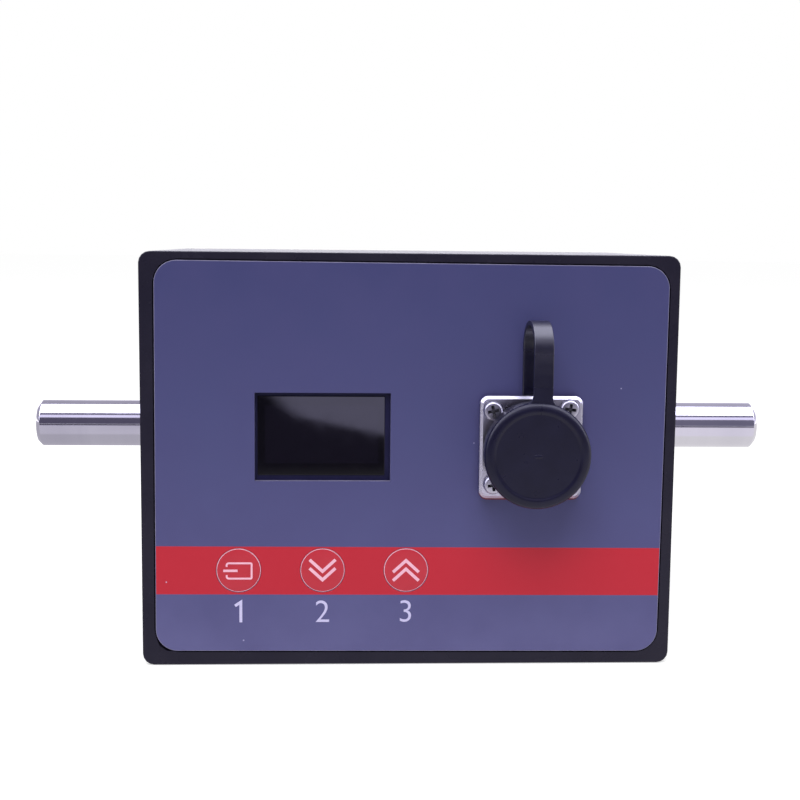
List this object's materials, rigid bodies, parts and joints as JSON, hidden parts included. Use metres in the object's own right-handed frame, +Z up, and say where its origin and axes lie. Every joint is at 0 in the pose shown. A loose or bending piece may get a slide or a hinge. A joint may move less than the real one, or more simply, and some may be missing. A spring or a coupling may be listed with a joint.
{
  "type": "rotary torque sensor",
  "caption": "Rotary torque sensor: black block housing with a through shaft, a blue display panel with red stripe and round keys, and a panel connector under a rubber dust cap.",
  "frame": {"origin": "on the base plane, under the middle of the shaft axis", "axes": "+X along the shaft to the right, -Y out of the display panel, +Z up from the base"},
  "size_m": [0.158, 0.0767, 0.08],
  "materials": {
    "black_aluminium": "fine matt anodised",
    "panel_blue": "satin printed film",
    "key_red": "satin",
    "display_glass": "gloss black",
    "black_rubber": "matt moulded",
    "red_silicone": "matt",
    "gasket_black": "matt",
    "bright_steel": "ground",
    "cage_steel": "pressed",
    "satin_nickel": "satin nickel plate",
    "black_plastic": "moulded",
    "gold_contact": "gold plated",
    "circuit_board": "solder resist",
    "copper_winding": "enamelled wire",
    "amber_film": "film"
  },
  "bodies": {
    "sensor_body": {"bearing_carrier_left": "black_aluminium", "bearing_carrier_right": "black_aluminium", "bearing_outer_left": "bright_steel", "bearing_outer_right": "bright_steel", "board_screw_1": "bright_steel", "board_screw_2": "bright_steel", "carrier_screw_left_1": "bright_steel", "carrier_screw_left_2": "bright_steel", "carrier_screw_left_3": "bright_steel", "carrier_screw_right_1": "bright_steel", "carrier_screw_right_2": "bright_steel", "carrier_screw_right_3": "bright_steel", "connector_insert": "black_plastic", "connector_shell": "satin_nickel", "contact_pin_1": "gold_contact", "contact_pin_2": "gold_contact", "contact_pin_3": "gold_contact", "contact_pin_4": "gold_contact", "contact_pin_5": "gold_contact", "display_board": "circuit_board", "display_glass": "display_glass", "dust_cap_strap": "black_rubber", "flange_gasket": "red_silicone", "flange_screw_1": "bright_steel", "flange_screw_2": "bright_steel", "flange_screw_3": "bright_steel", "flange_screw_4": "bright_steel", "frame_gasket": "gasket_black", "frame_screw_1": "bright_steel", "frame_screw_2": "bright_steel", "frame_screw_3": "bright_steel", "frame_screw_4": "bright_steel", "front_frame": "black_aluminium", "front_panel": "panel_blue", "housing": "black_aluminium", "main_board": "circuit_board", "speed_pickup": "black_plastic", "stator_coil_left": "copper_winding", "stator_coil_right": "copper_winding", "tact_switch_1": "black_plastic", "tact_switch_2": "black_plastic", "tact_switch_3": "black_plastic"},
    "shaft": {"bearing_inner_left": "bright_steel", "bearing_inner_right": "bright_steel", "rotor_board": "circuit_board", "rotor_coil_left": "copper_winding", "rotor_coil_right": "copper_winding", "speed_disc": "bright_steel", "strain_gauge_1": "amber_film", "strain_gauge_2": "amber_film", "torsion_shaft": "bright_steel"},
    "ball_cage_left": {"ball_cage_left": "cage_steel"},
    "ball_cage_right": {"ball_cage_right": "cage_steel"},
    "key_1": {"key_cap_1": "key_red", "switch_plunger_1": "black_plastic"},
    "key_2": {"key_cap_2": "key_red", "switch_plunger_2": "black_plastic"},
    "key_3": {"key_cap_3": "key_red", "switch_plunger_3": "black_plastic"},
    "dust_cap": {"dust_cap": "black_rubber"}
  },
  "joints": [
    {"name": "shaft_spin", "type": "hinge", "parent": "sensor_body", "child": "shaft", "pos_m": [0, 0, 0.042], "axis": [1, 0, 0], "continuous": true},
    {"name": "left_cage_spin", "type": "hinge", "parent": "sensor_body", "child": "ball_cage_left", "pos_m": [0, 0, 0.042], "axis": [1, 0, 0], "continuous": true},
    {"name": "right_cage_spin", "type": "hinge", "parent": "sensor_body", "child": "ball_cage_right", "pos_m": [0, 0, 0.042], "axis": [1, 0, 0], "continuous": true},
    {"name": "key_1_press", "type": "slide", "parent": "sensor_body", "child": "key_1", "axis": [0, 1, 0], "range_m": [0, 0.0004], "stiffness_N_per_m": 2000},
    {"name": "key_2_press", "type": "slide", "parent": "sensor_body", "child": "key_2", "axis": [0, 1, 0], "range_m": [0, 0.0004], "stiffness_N_per_m": 2000},
    {"name": "key_3_press", "type": "slide", "parent": "sensor_body", "child": "key_3", "axis": [0, 1, 0], "range_m": [0, 0.0004], "stiffness_N_per_m": 2000},
    {"name": "dust_cap_pull", "type": "slide", "parent": "sensor_body", "child": "dust_cap", "axis": [0, -1, 0], "range_m": [0, 0.012], "deforming": ["dust_cap_strap"]}
  ],
  "couplings": [
    {"joint": "left_cage_spin", "follows": "shaft_spin", "ratio": 0.381},
    {"joint": "right_cage_spin", "follows": "shaft_spin", "ratio": 0.381}
  ]
}
